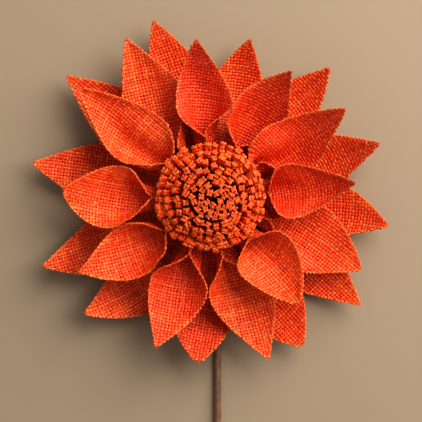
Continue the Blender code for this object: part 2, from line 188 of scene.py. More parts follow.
# A Geometry Nodes tree with a named input for each value, and its maker and inputs
def newTree(name, values):
    kinds = {float: "Float", int: "Int", tuple: "Vector"}
    tree = bpy.data.node_groups.new(name, "GeometryNodeTree")
    face = tree.interface
    face.new_socket("Geometry", in_out="INPUT", socket_type="NodeSocketGeometry")
    face.new_socket("Geometry", in_out="OUTPUT", socket_type="NodeSocketGeometry")
    for title, value in values.items():
        kind = kinds.get(type(value), type(value).__name__)
        socket = face.new_socket(title, in_out="INPUT", socket_type="NodeSocket" + kind)
        if type(value) in kinds:
            socket.default_value = value
    do = NodeMaker(tree)
    return do, do("NodeGroupInput", output=None)


# Each tree ends with its instances made real and its material set
def endTree(do, geometry, material):
    whole = do("GeometryNodeRealizeInstances", {"Geometry": geometry})
    whole = do("GeometryNodeSetMaterial", {"Geometry": whole, "Material": material})
    do("NodeGroupOutput", {0: whole}, None)
    return do.tree


def addObject(name, data):
    data.name = name
    made = bpy.data.objects.new(name, data)
    bpy.context.scene.collection.objects.link(made)
    return made


# Runs a tree on a mesh object and keeps what it makes as a plain mesh object
def bake(name, source, tree, values):
    modifier = source.modifiers.new(tree.name, "NODES")
    modifier.node_group = tree
    for item in tree.interface.items_tree:
        if item.item_type == "SOCKET" and item.in_out == "INPUT" and item.name in values:
            modifier[item.identifier] = values[item.name]
    graph = bpy.context.evaluated_depsgraph_get()
    mesh = bpy.data.meshes.new_from_object(source.evaluated_get(graph))
    source.modifiers.remove(modifier)
    return addObject(name, mesh)


# A mesh of quads over a grid of points; wrap joins the last column to the first
def gridMesh(points, uv=None, wrap=False):
    rows, columns = points.shape[:2]
    index = np.arange(rows * columns).reshape(rows, columns)
    right = np.roll(index, -1, axis=1) if wrap else index[:, 1:]
    left = index if wrap else index[:, :-1]
    faces = np.stack([left[:-1], right[:-1], right[1:], left[1:]], axis=-1).reshape(-1, 4)
    mesh = bpy.data.meshes.new("grid")
    mesh.from_pydata(points.reshape(-1, 3).tolist(), [], faces.tolist())
    if uv is not None:
        layer = mesh.uv_layers.new(name="flat")
        layer.data.foreach_set("uv", uv.reshape(-1, 2)[faces.ravel()].ravel().astype(np.float32))
    mesh.polygons.foreach_set("use_smooth", [True] * len(mesh.polygons))
    return mesh


# Lets a finished piece ride on the flower and stand for the nodes that it replaces
def place(piece, slotName, *nodes):
    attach(piece, "root")
    if nodes:
        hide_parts(*nodes)


# Petals: sizes in metres, in the head's own axes
petalCut = {
    "rootRadius": 12.2 * mm,
    "halfWidth": 20.0 * mm,
    "rootHalfWidth": 5.6 * mm,
    "widest": 0.43,  # of the way from root to tip
    "swell": 1.1,
    "tipHalfWidth": (0.8 * mm, 2.4 * mm),  # of a pointed and of a blunt petal
    "taper": (1.35, 2.3),
    "controls": (0, 0.35, 0.7, 1),  # where the midrib's control points are
}
# The two tiers, in millimetres and degrees
# midrib: heights of its four control points
# cupped, flat: how far each half wraps round the midrib, every tenth of its length, in a
# petal that curls fully and in one that lies flat
# net: steps along and across
# petals: root bearing, tip bearing, reach, lift, tip lift, roll, bow, blunt, curl of both sides
# over: pairs of a petal and the one that it lies over
# mouths: how far out a rolled petal begins to open, and over what length
# and painted shade: tone taken from the petals that lie turned away from the light
upperTier = {
    "midrib": (13.8, 8.8, 12.0, 30.0),
    "cupped": (125, 150, 150, 112, 86, 69, 56, 46, 38, 32, 27),
    "flat": (125, 144, 124, 78, 50, 36, 28, 23, 19, 16, 13),
    "net": (12, 10),
    "petals": {
        1: (154, 140.5, 83.6, 0.6, -2.0, 4, -2.0, 0.0, 1.15, 1.00),
        2: (130, 118.0, 88.3, -1.4, -8.0, 5, 1.5, 0.0, 0.50, 1.15),
        3: (97, 95.1, 76.5, 0.6, 3.0, 0, 0.0, 0.0, 0.75, 0.70),
        4: (70, 57.3, 72.8, 0.6, 3.0, 5, 0.8, 0.0, 0.60, 0.20),
        5: (35, 32.8, 78.4, 0.6, 3.0, 5, 0.0, 0.0, 0.90, 0.20),
        6: (6, 5.4, 70.3, 1.6, 4.0, 0, -1.0, 0.0, 1.05, 0.90),
        7: (-25, -25.7, 82.0, -1.4, -8.0, 0, 3.5, 0.5, 0.15, 0.45),
        8: (-54, -50.2, 66.8, 2.6, 0.0, 0, 3.0, 1.0, 1.20, 1.30),
        9: (-84, -70.1, 84.6, -1.2, -5.0, 0, 0.0, 0.0, 0.50, 0.75),
        10: (-113, -109.8, 78.2, 0.4, 0.0, 0, 1.0, 0.0, 0.70, 1.00),
        11: (-145, -150.0, 73.6, 0.4, 1.0, 0, 4.5, 0.0, 1.00, 1.00),
        12: (-176, -182.1, 71.6, 0.4, 2.0, 0, 2.6, 1.0, 1.00, 1.15),
    },
    "over": (
        (1, 2), (3, 2), (4, 3), (5, 4), (6, 5), (6, 7), (8, 7), (8, 9), (10, 9), (11, 10),
        (12, 11), (1, 12),
    ),
    "mouths": {
        1: (26.8, 6.0), 2: (28.0, 10.0), 3: (31.5, 17.0), 4: (27.8, 10.0), 5: (27.6, 8.0),
        6: (28.6, 7.0), 7: (28.5, 10.0), 8: (28.4, 10.0), 9: (29.5, 13.0), 10: (30.5, 18.0),
        11: (27.6, 8.0), 12: (28.4, 17.0),
    },
    # painted shade on the petals that lie turned away from the light
    "deeper": {3: 0.75, 4: 0.5, 5: 0.55, 6: 0.55, 10: 0.45},
}
lowerTier = {
    "midrib": (8.9, -2.6, -3.6, 15.0),
    "cupped": (120, 120, 98, 74, 56, 44, 36, 30, 25, 21, 18),
    "flat": (120, 110, 76, 44, 30, 22, 18, 15, 13, 11, 9),
    "net": (10, 6),
    "petals": {
        1: (169, 169.4, 89.4, 0.0, 0.0, 5, -1.0, 0.0, 0.60, 0.0),
        2: (139, 140.0, 92.7, 0.0, 0.0, 5, -1.5, 0.0, 0.90, 0.60),
        3: (109, 108.0, 91.5, 0.0, 0.0, 5, -2.0, 0.0, 0.70, 0.0),
        4: (79, 76.0, 80.5, 0.0, 0.0, 5, 0.0, 0.0, 0.35, 0.0),
        5: (49, 47.2, 87.0, 0.0, 0.0, 5, 0.0, 0.0, 0.35, 0.0),
        6: (20, 17.6, 87.5, 0.0, 6.0, 5, 0.0, 0.0, 0.35, 0.0),
        7: (-10, -8.9, 89.0, 0.0, 0.0, 5, 4.5, 0.2, 0.35, 0.50),
        8: (-40, -35.5, 91.5, 0.0, 0.0, 5, 3.0, 0.0, 0.35, 0.0),
        9: (-68, -58.3, 86.5, 0.0, 0.0, 5, 0.0, 0.8, 0.70, 0.0),
        10: (-98, -94.3, 81.0, 5.0, 0.0, 0, 1.0, 1.0, 0.35, 0.80),
        11: (-128, -136.8, 85.0, 0.0, 0.0, 3, 8.0, 0.2, 0.00, 0.60),
        12: (-161, -157.2, 89.4, 0.0, 0.0, 5, 4.0, 0.0, 0.35, 0.0),
    },
    "over": (
        (2, 1), (3, 2), (4, 3), (5, 4), (6, 5), (7, 6), (8, 7), (9, 8), (10, 9), (10, 11),
        (12, 11), (1, 12),
    ),
    "mouths": {},
    # painted shade on a petal that lies turned away from the light
    "deeper": {10: 0.6},
}
tiers = {"upper": upperTier, "lower": lowerTier}


# Half of a petal's flat width, s of the way from its root to its tip
def halfWidth(s, blunt):
    cut = petalCut
    widest, half, rootHalf = cut["widest"], cut["halfWidth"], cut["rootHalfWidth"]
    taper = np.interp(blunt, (0, 1), cut["taper"])
    tip = np.interp(blunt, (0, 1), cut["tipHalfWidth"])
    grown = np.sin(0.5 * math.pi * np.clip(s / widest, 0, 1)) ** cut["swell"]
    fallen = np.clip((s - widest) / (1 - widest), 0, 1) ** taper
    return np.where(
        s < widest, rootHalf + grown * (half - rootHalf), half + fallen * (tip - half))


def unit(vectors):
    return vectors / np.linalg.norm(vectors, axis=-1, keepdims=True)


# A petal's middle surface before bedding, as rows of points from root to tip
def petalNet(tier, row):
    rootBearing, tipBearing, reach, lift, tipLift, roll, bow, blunt, leftCurl, rightCurl = row
    rows, columns = tier["net"]
    s = np.linspace(0, 1, rows + 1)
    t = np.linspace(-1, 1, columns + 1)[None, :]
    ends = []
    for bearing, radius in ((rootBearing, petalCut["rootRadius"]), (tipBearing, reach * mm)):
        angle = math.radians(bearing)
        ends.append(radius * np.array([math.cos(angle), math.sin(angle), 0]))
    shares = np.array(petalCut["controls"])[:, None]
    controls = ends[0] + shares * (ends[1] - ends[0])
    controls[:, 2] = (np.array(tier["midrib"]) + [0, lift, lift, lift + tipLift]) * mm
    controls[1:3] += bow * mm * unit(np.cross((0, 0, 1), ends[1] - ends[0]))

    def midrib(share):
        u, v = 1 - share, share
        weights = np.stack([u**3, 3 * u * u * v, 3 * u * v * v, v**3], axis=-1)
        return weights @ controls

    along = unit(midrib(s + 0.01) - midrib(s - 0.01))
    side = unit(np.stack([-along[:, 1], along[:, 0], 0 * s], axis=-1))
    up = np.cross(along, side)
    angle = (math.radians(roll) * np.sin(math.pi * np.minimum(s * 1.1, 0.9)))[:, None]
    side, up = (
        side * np.cos(angle) + up * np.sin(angle),
        up * np.cos(angle) - side * np.sin(angle),
    )
    tenths = np.linspace(0, 1, 11)
    cupped, flat = (np.interp(s, tenths, tier[kind])[:, None] for kind in ("cupped", "flat"))
    curl = np.where(t > 0, leftCurl, rightCurl)
    width = halfWidth(s, blunt)[:, None]
    bend = np.radians(curl * cupped + (1 - curl) * flat) / width
    arc = t * width
    across = (np.sin(bend * arc) / bend)[..., None]
    rise = ((1 - np.cos(bend * arc)) / bend)[..., None]
    return midrib(s)[:, None] + side[:, None] * across + up[:, None] * rise


# Bedding: how the petals press each other clear of one another
bedding = {
    # how firmly a point is tied to those so many rows and columns on
    "ties": (
        (1, 0, 1), (0, 1, 1), (1, 1, 0.6), (1, -1, 0.6),
        (2, 0, 0.8), (0, 2, 0.8), (3, 0, 0.5), (0, 3, 0.5),
    ),
    "clearance": 1.4 * mm,
    "rounds": (180, 40),
    "settling": 30,
    "reach": 4.5 * mm,
    "square": 0.75,  # a smaller share of the gap is beside the other petal, not over it
    "step": 0.5 * mm,
    "push": 0.25,  # share of a push that each end of a sample takes
    "recoil": 0.17,  # and each corner of the triangle that it meets
    "spring": 1.3,
    "clothHalf": 0.6 * mm,
    "discMargin": (5 * mm, 0.3 * mm),  # past the disc's rim and above it
    "stemMargin": (1.2 * mm, 0.5 * mm),  # beside the stem and above it
    "stalkRadius": 12.05 * mm,
    "underCap": 23.3 * mm,
    "capRadius": 28.5 * mm,
}


def netNormals(net):
    return unit(np.cross(np.gradient(net, axis=0), np.gradient(net, axis=1)))


def netTriangles(rows, columns):
    triangles = []
    for i in range(rows):
        for j in range(columns):
            a = i * (columns + 1) + j
            b = a + columns + 1
            if j >= columns // 2:
                triangles += [(a, b, b + 1), (a, b + 1, a + 1)]
            else:
                triangles += [(a, b, a + 1), (b, b + 1, a + 1)]
    return triangles


# Presses the petals clear of each other, keeping the flat shape of each
def bedPetals(nets):
    spans, samples, triangles = {}, {}, {}
    ties, mobile, rims = [], [], []
    start = 0
    for name, net in nets.items():
        rows, columns = net.shape[:2]
        index = start + np.arange(rows * columns).reshape(rows, columns)
        spans[name] = slice(start, start + rows * columns)
        for down, right, weight in bedding["ties"]:
            if right < 0:
                first, second = index[:-1, 1:], index[1:, :-1]
            else:
                first, second = index[: rows - down, : columns - right], index[down:, right:]
            ties += [(a, b, weight) for a, b in zip(first.ravel(), second.ravel())]
        # each point, and the middle of each step along the petal
        samples[name] = (
            np.concatenate([index.ravel(), index[:-1].ravel()]),
            np.concatenate([index.ravel(), index[1:].ravel()]),
        )
        triangles[name] = netTriangles(rows - 1, columns - 1)
        rim = np.ones((rows, columns), bool)
        rim[1:-1, 1:-1] = False
        rims.append(rim.ravel())
        mobile.append(np.repeat([0.3, 0.7] + [1.0] * (rows - 2), columns))  # roots hardly move
        start += rows * columns
    points = np.concatenate([net.reshape(-1, 3) for net in nets.values()])
    ties = np.array(ties)
    first, second, weight = ties[:, 0].astype(int), ties[:, 1].astype(int), ties[:, 2:3]
    mobile = np.concatenate(mobile)[:, None]
    rims = np.concatenate(rims)
    lengths = np.linalg.norm(points[second] - points[first], axis=1, keepdims=True)
    overlaps = {
        (f"petal_{layer}_{a:02d}", f"petal_{layer}_{b:02d}")
        for layer, tier in tiers.items()
        for a, b in tier["over"]
    }
    pairs = [
        (over, under)
        for over in nets
        for under in nets
        if (over, under) in overlaps or ("upper" in over and "lower" in under)
    ]
    clear, push, recoil = bedding["clearance"], bedding["push"], bedding["recoil"]

    # one round of pushes between the petals that lie on each other
    def press():
        trees = {}
        normals = np.zeros_like(points)
        for name, net in nets.items():
            shaped = points[spans[name]]
            trees[name] = BVHTree.FromPolygons(shaped.tolist(), triangles[name])
            normals[spans[name]] = netNormals(shaped.reshape(net.shape)).reshape(-1, 3)
        pushes = np.zeros_like(points)
        counts = np.full((len(points), 1), 1e-9)
        for over, under in pairs:
            for moving, fixed in ((under, over), (over, under)):
                heads, tails = samples[moving]
                places = 0.5 * (points[heads] + points[tails])
                other = points[spans[fixed]]
                low, high = other.min(axis=0) - clear, other.max(axis=0) + clear
                for k in np.flatnonzero(((places > low) & (places < high)).all(axis=1)):
                    pair = (heads[k], tails[k])
                    spot, facing, number, gap = trees[fixed].find_nearest(
                        places[k], bedding["reach"])
                    if spot is None:
                        continue
                    away = places[k] - np.array(spot)
                    if moving == under:
                        facing = np.array(facing)
                        height = away @ facing
                    else:
                        facing = 0.5 * (normals[pair[0]] + normals[pair[1]])
                        height = -(away @ facing)
                    square = abs(height) > bedding["square"] * gap
                    loose = moving == under or (rims[pair[0]] and rims[pair[1]])
                    if square and height > -clear:
                        depth = min(clear + height, bedding["step"])
                        shift = -facing * depth if moving == under else facing * depth
                    elif not square and gap < clear and loose:
                        shift = away / max(gap, 1e-6) * (clear - gap)
                    else:
                        continue
                    for end in pair:
                        pushes[end] += push * shift
                        counts[end] += 2 * push
                    for corner in triangles[fixed][number]:
                        pushes[spans[fixed].start + corner] -= recoil * shift
                        counts[spans[fixed].start + corner] += 2 * recoil
        points[:] += mobile * pushes / np.maximum(counts, 1)

    # pulls each point back to its distance from those it is tied to
    def keepShape():
        between = points[second] - points[first]
        length = np.linalg.norm(between, axis=1, keepdims=True)
        pull = weight * 0.5 * between * (1 - lengths / length)
        moved = np.zeros_like(points)
        count = np.zeros((len(points), 1))
        for ends, way in ((first, pull), (second, -pull)):
            np.add.at(moved, ends, way)
            np.add.at(count, ends, weight)
        points[:] += bedding["spring"] * mobile * moved / count

    # above the floor, the disc and the stem, under the centre's cap and round its stalk
    def keepClear():
        half = bedding["clothHalf"]
        x, y, z = points.T
        radius = np.hypot(x, y)
        floor = np.full(len(z), half)
        past, above = bedding["discMargin"]
        floor[radius < discRadius + past] = discTop + above + half
        beside, above = bedding["stemMargin"]
        overStem = (np.abs(x - stemOffset) < tapeRadius + beside) & (y < 0)
        floor[overStem] = np.maximum(floor[overStem], 2 * tapeRadius + above + half)
        ceiling = np.where(radius < bedding["capRadius"], bedding["underCap"], 1)
        points[:, 2] = np.clip(z, floor, ceiling)
        points[:, :2] *= np.maximum(bedding["stalkRadius"] / radius, 1)[:, None]

    rounds = bedding["rounds"][0]
    for number in range(rounds):
        press()
        for _ in range(4 if number < rounds - bedding["settling"] else 1):
            keepShape()
        keepClear()
    return {name: points[spans[name]].reshape(net.shape) for name, net in nets.items()}


# Weights that draw a smooth line of so many steps through evenly spaced knots
def splineWeights(knots, steps):
    at = np.linspace(0, knots - 1, steps)
    cell = np.minimum(at.astype(int), knots - 2)
    x = at - cell
    blends = (
        -0.5 * x + x**2 - 0.5 * x**3,
        1 - 2.5 * x**2 + 1.5 * x**3,
        0.5 * x + 2 * x**2 - 1.5 * x**3,
        -0.5 * x**2 + 0.5 * x**3,
    )
    weights = np.zeros((steps, knots))
    row = np.arange(steps)
    for offset, blend in zip((-1, 0, 1, 2), blends):
        index = cell + offset
        inside = np.clip(index, 0, knots - 1)
        outside = index != inside
        inward = np.where(index < 0, 1, knots - 2)
        np.add.at(weights, (row, inside), np.where(outside, 2 * blend, blend))
        np.add.at(weights, (row, inward), np.where(outside, -blend, 0))
    return weights


# Smoothing: what becomes of a petal's bedded net
smoothing = {
    "steps": (73, 41),  # along and across
    "passes": 3,
    "evenness": 0.45,  # how far each pass smooths out the bedding's dents
    "shut": 0.03,  # how far a mouth stays open where it is closed
    "rimFrom": 0.30,  # from here out to the rim a side is drawn in
    "rimFade": 0.6,
}
# the flat cloth's map: its size, and where the petal's midrib lies on it
flatUnit = 100 * mm
flatMiddle = 50 * mm


# Draws a rolled petal's two sides together inside its mouth, which opens over the span
# from the start, both measured out from the head's axis
def closeMouth(points, rib, start, span):
    out = np.linalg.norm(rib[:, :2], axis=1)
    opened = np.sin(0.5 * math.pi * np.clip((out - start) / span, 0, 1))
    opened = smoothing["shut"] + (1 - smoothing["shut"]) * opened
    across = np.abs(np.linspace(-1, 1, points.shape[1]))
    upper = np.clip((across - smoothing["rimFrom"]) / smoothing["rimFade"], 0, 1)
    upper = (upper**2 * (3 - 2 * upper))[None, :, None]
    along = np.gradient(rib, axis=0)
    side = unit(np.stack([-along[:, 1], along[:, 0], 0 * out], axis=-1))[:, None]
    away = ((points - rib[:, None]) * side).sum(axis=-1, keepdims=True)
    middle = 0.5 * (away[:, :1] + away[:, -1:])
    return points + side * (middle - away) * (1 - opened)[:, None, None] * upper


# The petal's smooth surface, its length, and its rim with a line of points just inside;
# the surface's UV map is the flat cloth
def smoothPetal(name, net, blunt, mouth):
    fine = smoothing["steps"]
    down, across = (splineWeights(knots, steps) for knots, steps in zip(net.shape, fine))
    net = net.copy()
    for _ in range(smoothing["passes"]):
        near = net[:-2, 1:-1] + net[2:, 1:-1] + net[1:-1, :-2] + net[1:-1, 2:]
        net[1:-1, 1:-1] += smoothing["evenness"] * (near / 4 - net[1:-1, 1:-1])
    points = np.einsum("ai,bj,ijk->abk", down, across, net)
    rib = points[:, fine[1] // 2]
    length = np.linalg.norm(np.diff(rib, axis=0), axis=1).sum()
    if mouth:
        points = closeMouth(points, rib, mouth[0] * mm, mouth[1] * mm)
    s = np.linspace(0, 1, fine[0])[:, None] + np.zeros((1, fine[1]))
    t = np.linspace(-1, 1, fine[1])[None, :] + np.zeros((fine[0], 1))
    uv = np.stack([t * halfWidth(s, blunt) + flatMiddle, s * length], axis=-1) / flatUnit
    points = points + np.array(hub)
    rims = [
        np.concatenate([points[:, k], points[-1 - k, 1:-1], points[::-1, -1 - k]]) for k in (0, 2)
    ]
    return addObject(name, gridMesh(points, uv)), length, rims


# Cloth: the burlap that the petals are cut from
burlap = {
    "Pitch": 1.65 * mm,
    "Lines": 27,
    "Thread half width": 0.79 * mm,
    "Thread half thickness": 0.29 * mm,
    "Crossing height": 0.25 * mm,
    "Slub": 0.70,
    "Wander": 0.50 * mm,
    "Fray": 0.22 * mm,
}
threadSides = 5


# Warp or weft of a piece of cloth, laid on a surface by its flat UV map. Besides the
# cloth's own values it takes Turn, Side (1 for warp, -1 for weft), Middle (half the
# petal's length), Seed and Material
def threadTree(values):
    do, given = newTree("wovenThreads", values)
    pitch, middle = given["Pitch"], given["Middle"]

    # the surface remembers its smooth normal
    facing = do("GeometryNodeInputNormal", output="Normal")
    sheet = do.store(given["Geometry"], "sheetNormal", facing)

    def onSheet(value, flat, output="Value"):
        return do("GeometryNodeSampleUVSurface", {
            "Mesh": sheet, "Value": value, "UV Map": do.read("flat"), "Sample UV": flat,
        }, output, data_type="FLOAT_VECTOR")

    # a grid with one line of points for each thread, two steps to a crossing
    size = do.times(do.times(given["Lines"], 2), pitch)
    grid = do("GeometryNodeMeshGrid", {
        "Size X": size, "Vertices X": do.timesPlus(given["Lines"], 2, 1),
        "Size Y": size, "Vertices Y": do.timesPlus(given["Lines"], 4, 1),
    }, "Mesh")
    ends = do("GeometryNodeInputMeshEdgeVertices", output=None)
    apart = do.split(do.vector("SUBTRACT", ends["Position 1"], ends["Position 2"]))
    crosswise = do("FunctionNodeCompare", {
        0: do.math("ABSOLUTE", apart["X"]), 1: do.times(pitch, 0.5),
    }, data_type="FLOAT", operation="GREATER_THAN")
    lines = do.remove(grid, crosswise, domain="EDGE", mode="EDGE_FACE")

    # where each point lies on the flat cloth
    here = do.split(do("GeometryNodeInputPosition"))
    line = do.math("ROUND", do.divide(here["X"], pitch))
    seed = do.timesPlus(given["Seed"], 17.3, do.times(given["Side"], 5.1))
    swayAt = do.combine(do.times(line, 0.72), do.divide(here["Y"], 9 * mm), seed)
    sway = do.minus(do.noise(swayAt, 1.0, 2.0), 0.5)
    a = do.plus(here["X"], do.times(sway, do.times(given["Wander"], 2)))
    b = here["Y"]
    turnSin, turnCos = do.math("SINE", given["Turn"]), do.math("COSINE", given["Turn"])
    u = do.minus(do.times(a, turnCos), do.times(b, turnSin))
    v = do.plus(do.times(a, turnSin), do.times(b, turnCos))
    flat = do.scale(do.combine(do.plus(u, flatMiddle), do.plus(v, middle)), 1 / flatUnit)
    lines = do.store(lines, "threadLine", line)
    lines = do.store(lines, "flatPlace", flat)
    flatPlace, threadLine = do.read("flatPlace"), do.read("threadLine")
    found = onSheet(facing, flatPlace, "Is Valid")
    missing = do("FunctionNodeBooleanMath", {0: found}, operation="NOT")
    lines = do.remove(lines, missing, domain="POINT")
    curves = do("GeometryNodeMeshToCurve", {"Mesh": lines})
    few = do("FunctionNodeCompare", {
        2: do("GeometryNodeSplineLength", output="Point Count"), 3: 3,
    }, data_type="INT", operation="LESS_THAN")
    curves = do.remove(curves, few, domain="CURVE")

    # each cut end creeps out to the outline by halving steps
    anEnd, atStart = (
        do("GeometryNodeCurveEndpointSelection", {"Start Size": 1, "End Size": last})
        for last in (1, 0)
    )
    neighbour = do.plus(do("GeometryNodeInputIndex"), do.timesPlus(atStart, 2, -1))

    def pastNeighbour(value):
        other = do("GeometryNodeFieldAtIndex", {
            "Value": value, "Index": neighbour,
        }, data_type="FLOAT_VECTOR", domain="POINT")
        return do.vector("SUBTRACT", value, other)

    curves = do.store(curves, "outward", pastNeighbour(flatPlace))
    for share in (0.5, 0.25, 0.125):
        tried = do.vector("ADD", flatPlace, do.scale(do.read("outward"), share))
        inside = onSheet(facing, tried, "Is Valid")
        moves = do("FunctionNodeBooleanMath", {0: inside, 1: anEnd}, operation="AND")
        curves = do.store(curves, "flatPlace", tried, moves)

    # over and under: the thread's height changes side at each crossing
    on = do.split(do.scale(flatPlace, flatUnit))
    along = do.minus(
        do.times(do.minus(on["Y"], middle), turnCos),
        do.times(do.minus(on["X"], flatMiddle), turnSin),
    )
    phase = do.times(do.plus(do.divide(along, pitch), threadLine), math.pi)
    crown = do.times(do.math("COSINE", phase), given["Side"])
    height = do.times(crown, given["Crossing height"])
    position = do("GeometryNodeInputPosition")
    spot = onSheet(position, flatPlace)
    normal = onSheet(do.read("sheetNormal"), flatPlace)
    curves = do.store(curves, "alongThread", do.divide(along, mm))
    curves = do.store(curves, "crown", crown)
    curves = do.store(curves, "clothNormal", normal)
    curves = do.move(curves, Position=do.vector("ADD", spot, do.scale(normal, height)))

    # cut ends stand out a little
    last = do.vector("NORMALIZE", pastNeighbour(position))
    sticking = do.chance(-0.15, 1.0, given["Seed"])
    standOut = do.scale(last, do.times(sticking, given["Fray"]))
    curves = do.move(curves, Selection=anEnd, Offset=standOut)
    curves = do("GeometryNodeSetCurveNormal", {
        "Curve": curves, "Normal": do.read("clothNormal"),
    }, mode="FREE")

    # what the yarn's finish reads
    spline = do("GeometryNodeSplineParameter", output="Length")
    whole = do("GeometryNodeSplineLength", output="Length")
    fromEnd = do.math("MINIMUM", spline, do.minus(whole, spline))
    cutEnd = do("ShaderNodeMapRange", {"Value": fromEnd, 1: 0.0, 2: 1.3 * mm, 3: 1.0, 4: 0.0})
    toneSeed = do.timesPlus(given["Side"], 7, given["Seed"])
    tone = do.chance(0.0, 1.0, toneSeed, ID=do.plus(threadLine, 100))
    curves = do.store(curves, "cutEnd", cutEnd)
    curves = do.store(curves, "threadTone", tone)

    # slubs: each thread swells and thins along its length
    slubAt = do.combine(
        do.times(threadLine, 3.7), do.divide(do.read("alongThread"), 4.5), seed)
    slub = do.minus(do.noise(slubAt, 1.0, 2.0), 0.5)
    scale = do.timesPlus(do.times(slub, given["Slub"]), 2, 1)
    ring = do("GeometryNodeCurvePrimitiveCircle", {
        "Resolution": threadSides, "Radius": 1.0,
    }, "Curve")
    ring = do.store(ring, "ringPlace", position)
    profile = do("GeometryNodeTransform", {
        "Geometry": ring,
        "Scale": do.combine(given["Thread half thickness"], given["Thread half width"], 1.0),
    })
    threads = do("GeometryNodeCurveToMesh", {
        "Curve": curves, "Profile Curve": profile, "Scale": scale, "Fill Caps": True,
    })
    threads = do("GeometryNodeSetShadeSmooth", {"Geometry": threads, "Shade Smooth": True})
    return endTree(do, threads, given["Material"])


# Dyed yarn
dye = {
    "deep": (0.40, 0.006, 0.0004),
    "middle": (0.70, 0.042, 0.004),
    "light": (0.97, 0.255, 0.052),
    "cutEnd": (0.97, 0.50, 0.15),
    "roughness": 0.40,
    "tint": (1.0, 0.76, 0.52, 1),  # of the shine
    "sheen": 0.05,
    "sheenTint": (1.0, 0.42, 0.15, 1),
}
# Shares of each influence on a thread's tone, which runs from 0.2 (deep) to 0.8 (light)
yarn = {
    "patches": 0.30,
    "streaks": 0.66,
    "grain": 0.30,
    # painted highlight and shade on the crowns of the weave
    "crowns": 0.14,
    "patchScale": 330.0,
    "grainScale": 2600.0,
    "relief": 0.7,
    "cutEnds": 0.6,  # how far they pale
    "twist": 1.1,  # radians to a millimetre
}
# base tone, spread between threads, how much deeper a cut end's middle is, and shine
petalYarn = {"base": -0.16, "spread": 0.17, "hollow": 0.0, "specular": 1.0}
fringeYarn = {"base": 0.03, "spread": 0.36, "hollow": 0.70, "specular": 0.60}


# Dyed jute yarn: each thread its own tone, streaked by twisted fibres and paler where it is cut,
# with painted highlight on the tops of its crowns and painted shade where it dips under a
# crossing
def burlapFinish(name, kind):
    look, do = newMaterial(name)

    def attribute(title, output="Fac"):
        return do("ShaderNodeAttribute", None, output, attribute_name=title)

    spot = do.spot()
    tone, ends, along = attribute("threadTone"), attribute("cutEnd"), attribute("alongThread")
    around = attribute("ringPlace", "Vector")
    twisted = do("ShaderNodeVectorRotate", {
        "Vector": around, "Angle": do.times(along, yarn["twist"]),
    }, rotation_type="Z_AXIS")
    lengthwise = do.combine(0.0, 0.0, do.timesPlus(along, 0.8, do.times(tone, 40)))
    streakAt = do.vector("ADD", do.scale(twisted, 1.5), lengthwise)
    streaks = do.noise(streakAt, 1.0, 3.0, 0.7)
    patches = do.noise(spot, yarn["patchScale"], 3.0, 0.65)
    grain = do.noise(spot, yarn["grainScale"], 2.0, 0.7)
    # painted highlight and shade: paler where a thread's surface rides up over a crossing, darker
    # where it dips under
    top = do.times(attribute("crown"), do.split(around)["X"])
    fromMiddle = do.vector("LENGTH", around)
    mixed = do.timesPlus(do.minus(tone, 0.4), kind["spread"], kind["base"])
    for value, share in (
        (patches, yarn["patches"]),
        (streaks, yarn["streaks"]),
        (grain, yarn["grain"]),
        (top, yarn["crowns"]),
        (do.minus(fromMiddle, 1.0), kind["hollow"]),
    ):
        mixed = do.timesPlus(value, share, mixed)
    colour = do.ramp(mixed, (0.2, dye["deep"]), (0.5, dye["middle"]), (0.8, dye["light"]))
    pale = do.math("POWER", do.times(ends, fromMiddle), 2.0)
    paled = do("ShaderNodeMix", {
        0: do.times(pale, yarn["cutEnds"]), 6: colour, 7: (*dye["cutEnd"], 1),
    }, 2, data_type="RGBA")
    do.shade({
        "Base Color": paled,
        "Normal": do.bump(do.timesPlus(streaks, 1.4, grain), yarn["relief"], 0.2 * mm),
        "Roughness": dye["roughness"],
        "Specular IOR Level": kind["specular"],
        "Specular Tint": dye["tint"],
        "Sheen Weight": dye["sheen"],
        "Sheen Roughness": 0.5,
        "Sheen Tint": dye["sheenTint"],
    })
    return look


# Painted shade: the threads of the petals that lie turned away from the light are given a deeper
# tone
def deepen(mesh, amount):
    tones = mesh.attributes["threadTone"].data
    values = np.empty(len(tones), np.float32)
    tones.foreach_get("value", values)
    tones.foreach_set("value", values - amount)


# Square strands along lines of points; each is points, radius, tone, cut at its end
def strandMesh(strands, sides=4):
    points, faces, rounded, tones, cuts, runs, rings = [], [], [], [], [], [], []
    angles = (np.arange(sides) + 0.5) * 2 * math.pi / sides
    circle = np.stack([np.cos(angles), np.sin(angles), 0 * angles], axis=-1)
    for line, radius, tone, cutAt in strands:
        line = np.asarray(line)
        radius = radius * np.ones(len(line))
        along = unit(np.gradient(line, axis=0))
        helper = np.array((0, 1, 0)) if abs(along[0, 2]) > 0.7 else np.array((0.1, 0.2, 1))
        side = unit(np.cross(along, helper))
        up = np.cross(side, along)
        ring = side[:, None] * circle[:, :1] + up[:, None] * circle[:, 1:2]
        index = len(points) + np.arange(len(line) * sides).reshape(-1, sides)
        right = np.roll(index, -1, axis=1)
        quads = np.stack([index[:-1], index[1:], right[1:], right[:-1]], axis=-1).reshape(-1, 4)
        faces += quads.tolist() + [index[0].tolist(), index[-1][::-1].tolist()]
        rounded += [True] * len(quads) + [False, False]
        points += (line[:, None] + ring * radius[:, None, None]).reshape(-1, 3).tolist()
        tones += [tone] * index.size
        cuts += np.repeat(cutAt * np.ones(len(line)), sides).tolist()
        steps = np.linalg.norm(np.diff(line, axis=0), axis=1)
        runs += np.repeat(np.concatenate([[0], np.cumsum(steps)]) / mm, sides).tolist()
        rings += np.tile(circle, (len(line), 1)).tolist()
    mesh = bpy.data.meshes.new("strands")
    mesh.from_pydata(points, [], faces)
    for title, values in (("threadTone", tones), ("cutEnd", cuts), ("alongThread", runs)):
        mesh.attributes.new(title, "FLOAT", "POINT").data.foreach_set("value", values)
    layer = mesh.attributes.new("ringPlace", "FLOAT_VECTOR", "POINT")
    layer.data.foreach_set("vector", np.array(rings, np.float32).ravel())
    mesh.polygons.foreach_set("use_smooth", rounded)
    return mesh


